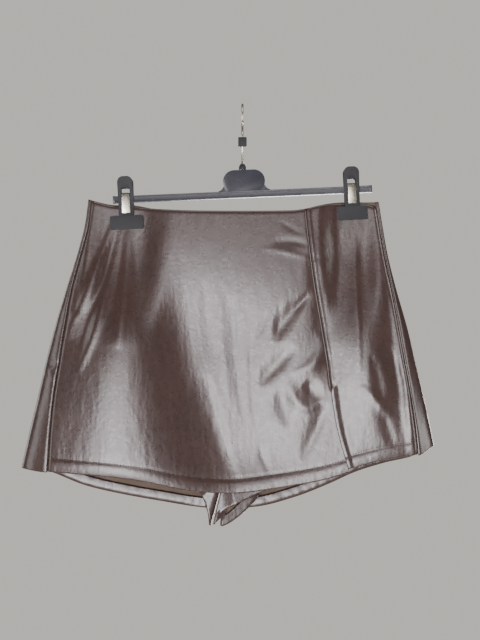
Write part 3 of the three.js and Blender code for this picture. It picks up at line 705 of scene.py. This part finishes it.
def back_leg_grid(name, side):
    rows = leg_rows(130, 36)
    past = np.array([1.04, 1.1, 1.18, 1.28, 1.4, 1.52, 1.64, 1.75, 1.84, 1.91, 1.96, 1.985, 2.0])
    u = np.concatenate([np.sin(spread(260, 2.4, 1.0) * np.pi / 2), past])[None, :]
    v = rows[:, None]
    fold, seam = ("left", "seamLeft") if side < 0 else ("right", "seamRight")

    def share_x(z, rows_at):
        flat = mix(inner_line(name, side, z, rows_at), level(fold, z), u)
        wrapped = mix(level(fold, z), level(seam, z) + side * GAP / 2, np.maximum(0, u - 1) ** 2)
        return np.where(u <= 1, flat, wrapped)

    end_x = np.where(u <= 1, mix(INNER_X[name], level(fold, HEM_Z), u), share_x(HEM_Z, 0))
    end = np.where(u <= 1, curve(BACK_HEM, "z", end_x), curve(WRAPPED_HEM, "z", end_x))
    z = leg_height(curve(WAIST, "back", share_x(WAIST_Z, 0)), end, u, v)
    x = share_x(z, v)
    beside = np.abs(x - level(seam, z))
    wrapped_y = front_y(x, z) + groove(beside, SEAM_SINK, 1.4)
    y = np.where(u <= 1, back_y(x, z), wrapped_y)
    grid = with_inner_leg(np.stack([x, y, z], -1), rows, name, side)
    return grid if side < 0 else grid[:, ::-1]


# ---------------------------------------------------------------- stitches
def stitch_row(name, path, outward, pitch=3.3, length=2.3, radius=0.36):
    """A row of short thread stitches along a path that lies on the cloth."""
    run = lengths_along(path)
    ring = [(math.cos(a), math.sin(a)) for a in np.linspace(0, 2 * math.pi, 7)[:-1]]
    vertices, faces = [], []
    for start in np.arange(pitch / 2, run[-1] - length, pitch):
        at = start + length * np.array([0, 0.12, 0.5, 0.88, 1])
        size = radius * np.array([0.25, 0.85, 1, 0.85, 0.25])
        sink = np.array([-0.3, 0.0, 0.12, 0.0, -0.3])
        points = np.stack([np.interp(at, run, path[:, k]) for k in range(3)], 1)
        normal = np.stack([np.interp(at, run, outward[:, k]) for k in range(3)], 1)
        along = (points[-1] - points[0]) / np.linalg.norm(points[-1] - points[0])
        side = np.cross(along, normal[2])
        base = len(vertices)
        for p, n, r, s in zip(points, normal, size, sink):
            vertices += [p + n * (s + r * b) + side * r * a for a, b in ring]
        for k in range(4):
            for j in range(6):
                a, b = base + 6 * k + j, base + 6 * k + (j + 1) % 6
                faces.append((a, b, b + 6, a + 6))
        faces.append([base + j for j in range(6)][::-1])
        faces.append([base + 24 + j for j in range(6)])
    piece = finish_mesh(name, vertices, faces, [thread])
    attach(piece, "root")
    return piece


def hem_path(grid, height, first, last, outside=True):
    """The line at a height above a sheet's bottom fold, on its outer face or on the turned-up cloth
    inside."""
    normals = grid_normals(grid)
    path, outward = [], []
    for j in range(first, grid.shape[1] + last):
        here = column_upwards(grid, j)
        points, facing = grid[here, j], normals[here, j]
        run = lengths_along(points)
        at = height - LAYER / 2
        p = np.array([np.interp(at, run, points[:, k]) for k in range(3)])
        n = np.array([np.interp(at, run, facing[:, k]) for k in range(3)])
        path.append(p + n * (CLOTH / 2 if outside else -LAYER - CLOTH / 2))
        outward.append(n if outside else -n)
    return np.array(path), np.array(outward)


# ---------------------------------------------------------------- build the garment
def build_garment():
    front = skirt_front_grid()
    side = skirt_side_grid()
    back_left, back_right = back_leg_grid("back_left", -1), back_leg_grid("back_right", 1)
    back_hem = (LEG_HEM, LEG_HEM_STEP, LEG_HEM_PUFF)
    made = {}
    for key, name, grid, hem, replaced in (
        ("skirt_front", "skirt_front", front, (HEM,), ["skirt_front"]),
        ("skirt_side", "skirt_side", side, (HEM,), ["skirt_side"]),
        ("back_left", "shorts_back_left", back_left, back_hem, ["shorts_back_left", "leg_hem_left"]),
        ("back_right", "shorts_back_right", back_right, back_hem, ["shorts_back_right", "leg_hem_right"]),
        ("front_left", "shorts_front_left", front_leg_grid("front_left", -1), (LEG_HEM,),
         ["shorts_front_left"]),
        ("front_right", "shorts_front_right", front_leg_grid("front_right", 1), (LEG_HEM,),
         ["shorts_front_right"]),
    ):
        made[key] = shell(f"{name}_cloth", turned_up(grid, *hem), replaced, CLOTH_FACES)
    stitch_row("skirt_front_stitches", *hem_path(front, STITCH_LINE, 3, -3))
    stitch_row("skirt_side_stitches", *hem_path(side, STITCH_LINE, 14, -3))
    stitch_row("back_left_stitches", *hem_path(back_left, LEG_STITCH_LINE, 0, -13))
    stitch_row("back_left_stitches_inside", *hem_path(back_left, LEG_STITCH_LINE, 24, -14, False))
    stitch_row("back_right_stitches", *hem_path(back_right, LEG_STITCH_LINE, 13, 0))
    stitch_row("back_right_stitches_inside", *hem_path(back_right, LEG_STITCH_LINE, 14, -54, False))
    return made


garment = build_garment()

# ---------------------------------------------------------------- hanger
NODE_FINISH = {
    "hanger_moulding": (grey_plastic, "grey_plastic", 0.5),
    "hook": (steel, "steel", 0),
    "size_block": (black_plastic, "black_plastic", 0.5),
    "hanger_collar": (black_plastic, "black_plastic", 0.4),
    "side_zip": (zip_coil, "zip", 0.2),
}
for clip in ("clip_left", "clip_right"):
    NODE_FINISH[f"{clip}_front"] = (black_plastic, "black_plastic", 0.35)
    NODE_FINISH[f"{clip}_back"] = (black_plastic, "black_plastic", 0.35)
    NODE_FINISH[f"{clip}_spring"] = (steel, "steel", 0.15)


def softened(name, finish, bevel):
    """A copy of a hard node with its flat faces made whole and its edges rounded."""
    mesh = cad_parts[name].data.copy()
    made = bmesh.new()
    made.from_mesh(mesh)
    bmesh.ops.remove_doubles(made, verts=made.verts, dist=0.02 * MM)
    bmesh.ops.dissolve_limit(made, angle_limit=math.radians(0.6), verts=made.verts, edges=made.edges)
    made.to_mesh(mesh)
    made.free()
    mesh.materials.clear()
    mesh.materials.append(finish)
    for polygon in mesh.polygons:
        polygon.use_smooth = True
        polygon.material_index = 0
    piece = bpy.data.objects.new(f"{name}_finished", mesh)
    bpy.context.scene.collection.objects.link(piece)
    if bevel:
        rounding = piece.modifiers.new("rounded_edges", "BEVEL")
        rounding.width = bevel * MM
        rounding.segments = 3
        rounding.limit_method = "ANGLE"
        rounding.angle_limit = math.radians(35)
        rounding.harden_normals = True
    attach(piece, "root")
    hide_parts(name)
    return piece


for name, (finish, slot, bevel) in NODE_FINISH.items():
    softened(name, finish, bevel)

# ---------------------------------------------------------------- stage, lights and camera
FLOOR_Z = -1500
FLOOR_GLOW = 0.93          # strength of the tone that the camera sees on the floor
BACKDROP = (0.60, 0.575, 0.535)
ROOM_LIGHT = 0.35


def seen_apart(tree, lit, seen, output):
    """Shows the camera one shader and everything else another."""
    split = node(tree, "ShaderNodeMixShader", Fac=node(tree, "ShaderNodeLightPath").outputs["Is Camera Ray"])
    tree.links.new(lit, split.inputs[1])
    tree.links.new(seen, split.inputs[2])
    tree.links.new(split.outputs["Shader"], tree.nodes[output].inputs["Surface"])


def build_stage():
    made = bmesh.new()
    bmesh.ops.create_grid(made, x_segments=8, y_segments=8, size=4.0)
    mesh = bpy.data.meshes.new("floor")
    made.to_mesh(mesh)
    made.free()
    floor_material, tree, shader = material("pale_floor", BACKDROP, 0.9)
    where = node(tree, "ShaderNodeTexCoord").outputs["Object"]
    noise = node(tree, "ShaderNodeTexNoise", Vector=where, Scale=3.0, Detail=4.0)
    tone = colour_ramp(tree, noise.outputs["Fac"], (0.3, (0.58, 0.555, 0.515)), (0.7, (0.62, 0.595, 0.555)))
    tree.links.new(tone, shader.inputs["Base Color"])
    seen = node(tree, "ShaderNodeEmission", Color=tone, Strength=FLOOR_GLOW)
    seen_apart(tree, shader.outputs["BSDF"], seen.outputs["Emission"], "Material Output")
    mesh.materials.append(floor_material)
    floor = bpy.data.objects.new("floor", mesh)
    floor.location = (0, 0, FLOOR_Z * MM)
    bpy.context.scene.collection.objects.link(floor)
    world = bpy.data.worlds.new("studio")
    bpy.context.scene.world = world
    world.use_nodes = True
    tree = world.node_tree
    seen = tree.nodes["Background"]
    seen.inputs["Color"].default_value = (*BACKDROP, 1)
    room = node(tree, "ShaderNodeBackground", Color=(0.5, 0.49, 0.5, 1), Strength=ROOM_LIGHT)
    seen_apart(tree, room.outputs["Background"], seen.outputs["Background"], "World Output")


TARGET = Vector((0, 0, -0.3))


def soft_light(name, azimuth, elevation, distance, width, height, power, color=(1, 1, 1)):
    """A soft box that faces the garment. Azimuth 0 is in front of it and 90 to the viewer's right."""
    a, e = math.radians(azimuth), math.radians(elevation)
    away = Vector((math.sin(a) * math.cos(e), -math.cos(a) * math.cos(e), math.sin(e)))
    data = bpy.data.lights.new(name, "AREA")
    data.shape = "RECTANGLE"
    data.size, data.size_y = width, height
    data.energy = power
    data.color = color
    light = bpy.data.objects.new(name, data)
    light.location = TARGET + away * distance
    light.rotation_euler = away.to_track_quat("Z", "Y").to_euler()
    bpy.context.scene.collection.objects.link(light)


def build_lights():
    soft_light("key", -9, -12.2, 2.6, 1.2, 1.15, 58, (0.99, 0.95, 0.98))
    soft_light("upper", 3, 8, 2.6, 0.65, 0.55, 3.6, (0.99, 0.96, 1.0))
    soft_light("right_fill", 62, 5, 2.2, 0.8, 1.6, 20)
    soft_light("left_fill", -62, 3, 2.2, 0.8, 1.6, 10)
    soft_light("top", 10, 70, 2.0, 1.6, 1.0, 12)
    soft_light("rear_key", 159, -13, 2.6, 2.0, 1.2, 95, (0.97, 0.96, 1.0))
    soft_light("rear_fill", -118, 5, 2.2, 0.8, 1.6, 14)


CAMERA_PLACE = (-3, -2000, -264)
VIEW_HEIGHT = 789           # of the picture, at the garment's middle plane


def build_camera():
    data = bpy.data.cameras.new("camera")
    data.lens = data.sensor_width * -CAMERA_PLACE[1] / VIEW_HEIGHT
    camera = bpy.data.objects.new("camera", data)
    camera.location = Vector(CAMERA_PLACE) * MM
    camera.rotation_euler = (math.radians(90), 0, 0)
    bpy.context.scene.collection.objects.link(camera)
    bpy.context.scene.camera = camera


build_stage()
build_lights()
build_camera()
